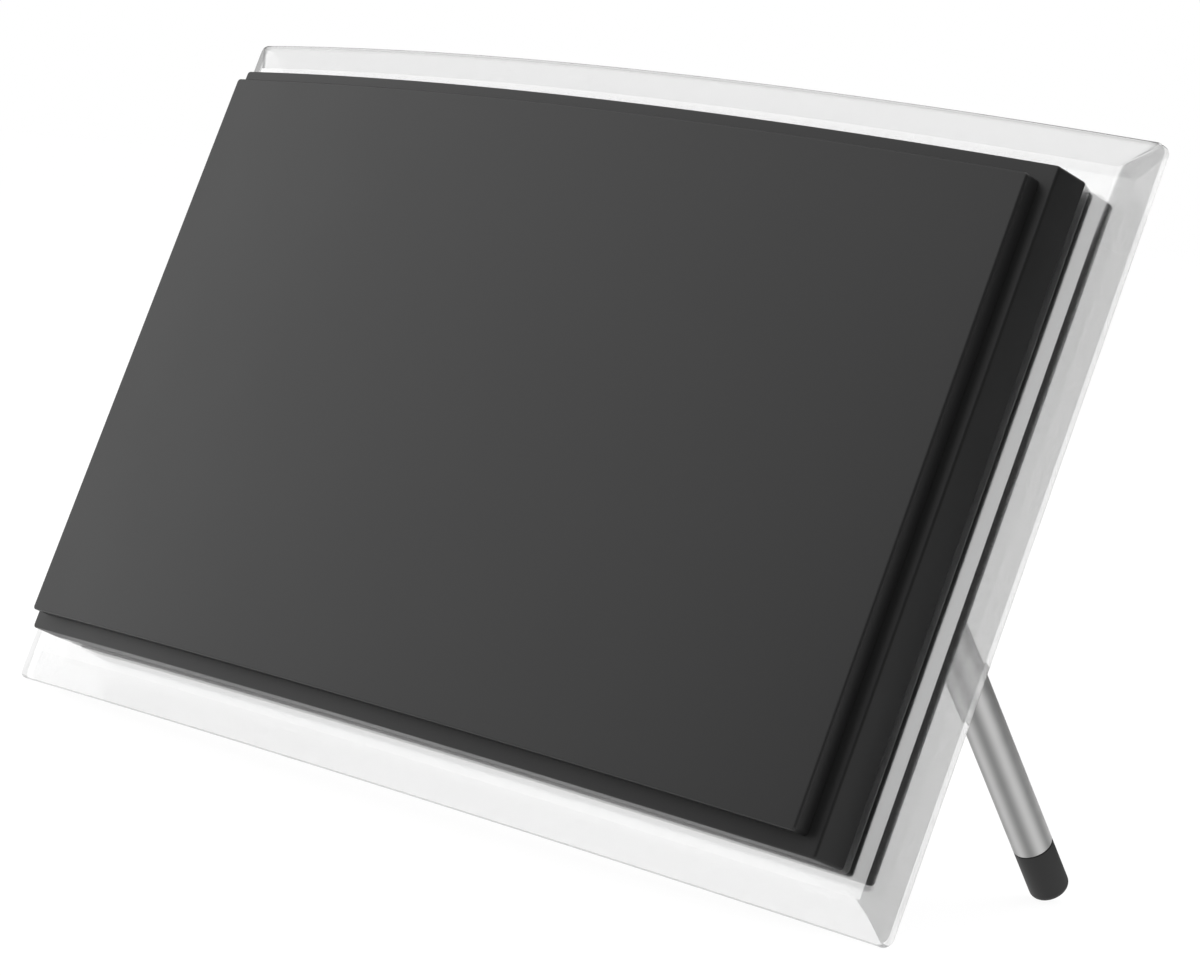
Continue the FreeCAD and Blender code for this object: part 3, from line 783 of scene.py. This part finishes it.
class ANTENNA_OT_stage(bpy.types.Operator):
    """Makes the floor, the world, the lights and the camera"""

    bl_idname = "antenna.stage"
    bl_label = "Studio"

    def execute(self, context):
        s, scene = context.scene.antenna_studio, context.scene
        self.floor(s)
        self.world(s)
        self.light("side_light", s.side_power, s.side_place, s.side_size)
        self.light("top_light", s.top_power, s.top_place, s.top_size)
        self.light("back_light", s.back_power, s.back_place, s.back_size)
        camera = bpy.data.objects.new("camera", bpy.data.cameras.new("camera"))
        camera.location = s.camera_place
        camera.rotation_euler = s.camera_turn
        camera.data.sensor_fit = "HORIZONTAL"
        camera.data.sensor_width = SENSOR_WIDTH
        camera.data.lens = s.focal_pixels / IMAGE_WIDTH * SENSOR_WIDTH
        scene.collection.objects.link(camera)
        scene.camera = camera
        scene.view_settings.view_transform = "Standard"
        return {"FINISHED"}

    def by_ray(self, tree, level, **levels):
        """A level for rays in general, and another for each kind of ray that is named."""
        path = tree.nodes.new("ShaderNodeLightPath")
        for kind, other in levels.items():
            choice = tree.nodes.new("ShaderNodeMapRange")
            feed(tree, level, choice.inputs["To Min"])
            choice.inputs["To Max"].default_value = other
            tree.links.new(path.outputs["Is %s Ray" % kind.title()], choice.inputs["Value"])
            level = choice.outputs["Result"]
        return level

    def floor(self, s):
        """A flat white square on which the antenna stands, bright to the eye but still taking its shadow."""
        half = s.floor_size / 2
        corners = np.array([(-half, -half, 0.0), (half, -half, 0.0), (half, half, 0.0), (-half, half, 0.0)])
        mesh = bpy.data.meshes.new("floor")
        mesh.from_pydata(corners.tolist(), [], [(0, 1, 2, 3)])
        material = bpy.data.materials.new("floor_white")
        material.use_nodes = True
        tree = material.node_tree
        tree.nodes.clear()
        output = tree.nodes.new("ShaderNodeOutputMaterial")
        both = tree.nodes.new("ShaderNodeAddShader")
        paper = tree.nodes.new("ShaderNodeBsdfDiffuse")
        glow = tree.nodes.new("ShaderNodeEmission")
        paper.inputs["Color"].default_value = (PAPER_GREY, PAPER_GREY, PAPER_GREY, 1.0)
        seen = self.by_ray(tree, 0.0, camera=s.floor_glow, glossy=s.floor_glow, transmission=s.floor_glow)
        tree.links.new(seen, glow.inputs["Strength"])
        tree.links.new(paper.outputs["BSDF"], both.inputs[0])
        tree.links.new(glow.outputs["Emission"], both.inputs[1])
        tree.links.new(both.outputs["Shader"], output.inputs["Surface"])
        mesh.materials.append(material)
        floor = bpy.data.objects.new("floor", mesh)
        bpy.context.scene.collection.objects.link(floor)

    def world(self, s):
        """A white surround to the eye, dim in mirrors, and an even soft light for everything else."""
        world = bpy.data.worlds.new("surround")
        bpy.context.scene.world = world
        world.use_nodes = True
        tree = world.node_tree
        background = tree.nodes["Background"]
        background.inputs["Color"].default_value = (1.0, 1.0, 1.0, 1.0)
        seen = self.by_ray(tree, s.ambient, glossy=s.mirrored, camera=1.0, transmission=1.0)
        tree.links.new(seen, background.inputs["Strength"])

    def light(self, name, power, where, size):
        """A square soft light that faces the antenna."""
        data = bpy.data.lights.new(name, "AREA")
        data.energy = power
        data.size = size
        lamp = bpy.data.objects.new(name, data)
        bpy.context.scene.collection.objects.link(lamp)
        lamp.location = where
        aim = PANEL_ORIGIN - np.array(where)
        lamp.rotation_euler = Vector(aim).to_track_quat("-Z", "Y").to_euler()


class ANTENNA_PT_sidebar(bpy.types.Panel):
    """Lists the pieces and the sizes and colours they are made from"""

    bl_idname = "ANTENNA_PT_sidebar"
    bl_label = "Tabletop Antenna"
    bl_space_type = "VIEW_3D"
    bl_region_type = "UI"
    bl_category = "Antenna"

    def draw(self, context):
        column = self.layout.column(align=True)
        for operator in OPERATORS:
            column.operator(operator.bl_idname)
        for name, group in GROUPS.items():
            box = self.layout.box()
            box.label(text=group.__doc__)
            for prop in group.__annotations__:
                box.prop(getattr(context.scene, name), prop)


OPERATORS = (ANTENNA_OT_plate, ANTENNA_OT_housing, ANTENNA_OT_face, ANTENNA_OT_rear, ANTENNA_OT_legs,
             ANTENNA_OT_outlet, ANTENNA_OT_hardware, ANTENNA_OT_stage)
GROUPS = {
    "antenna_panel": AntennaPanelSizes,
    "antenna_legs": AntennaLegSizes,
    "antenna_outlet": AntennaOutletSizes,
    "antenna_finishes": AntennaFinishes,
    "antenna_studio": AntennaStudio,
}


def register():
    for group in GROUPS.values():
        bpy.utils.register_class(group)
    for name, group in GROUPS.items():
        setattr(bpy.types.Scene, name, PointerProperty(type=group))
    for cls in (*OPERATORS, ANTENNA_PT_sidebar):
        bpy.utils.register_class(cls)


def unregister():
    for cls in (ANTENNA_PT_sidebar, *reversed(OPERATORS)):
        bpy.utils.unregister_class(cls)
    for name, group in reversed(GROUPS.items()):
        delattr(bpy.types.Scene, name)
        bpy.utils.unregister_class(group)


def main():
    register()
    bpy.ops.antenna.plate()
    bpy.ops.antenna.housing()
    bpy.ops.antenna.face()
    bpy.ops.antenna.rear()
    bpy.ops.antenna.legs()
    bpy.ops.antenna.outlet()
    bpy.ops.antenna.hardware()
    bpy.ops.antenna.stage()


if __name__ == "__main__":
    main()
